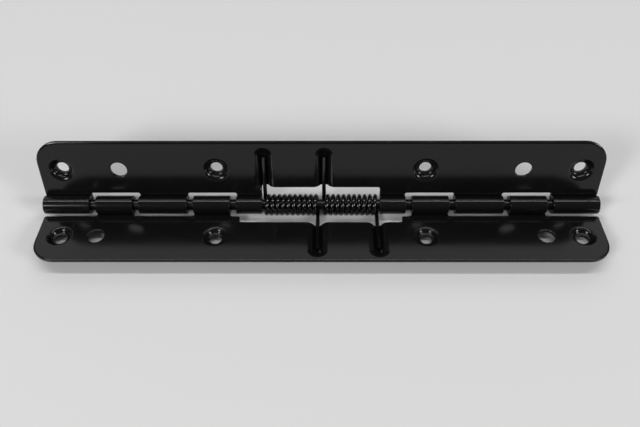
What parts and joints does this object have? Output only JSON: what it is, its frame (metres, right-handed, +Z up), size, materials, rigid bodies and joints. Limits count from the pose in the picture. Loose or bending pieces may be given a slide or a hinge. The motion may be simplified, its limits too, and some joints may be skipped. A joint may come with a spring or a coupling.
{
  "type": "seat back hinge",
  "caption": "Long black spring-loaded seat back hinge: pressed steel leaves with dimpled screw holes on a common pin, held open by torsion springs whose legs lie in ribs.",
  "frame": {"origin": "middle of the underside, where the hinge touches the table it lies on", "axes": "+X along the hinge pin, +Z up, the seat leaf towards -Y and the back leaf rising at +Y"},
  "size_m": [0.305, 0.0564, 0.0405],
  "materials": {
    "leaf_coat": "semi-gloss black coat on pressed steel",
    "spring_wire": "glossy black coat on spring steel wire",
    "pin_steel": "black coated steel rod"
  },
  "bodies": {
    "seat_side": {"seat_leaf": "leaf_coat", "left_spring": "spring_wire", "right_spring": "spring_wire"},
    "back_side": {"back_leaf": "leaf_coat", "hinge_pin": "pin_steel"}
  },
  "joints": [
    {"name": "back_fold", "type": "hinge", "parent": "seat_side", "child": "back_side", "pos_m": [0, 0.00984, 0.0061], "axis": [-1, 0, 0], "range_deg": [-98.5, 81.5], "stiffness_Nm_per_rad": 1, "deforming": ["left_spring", "right_spring"]}
  ]
}
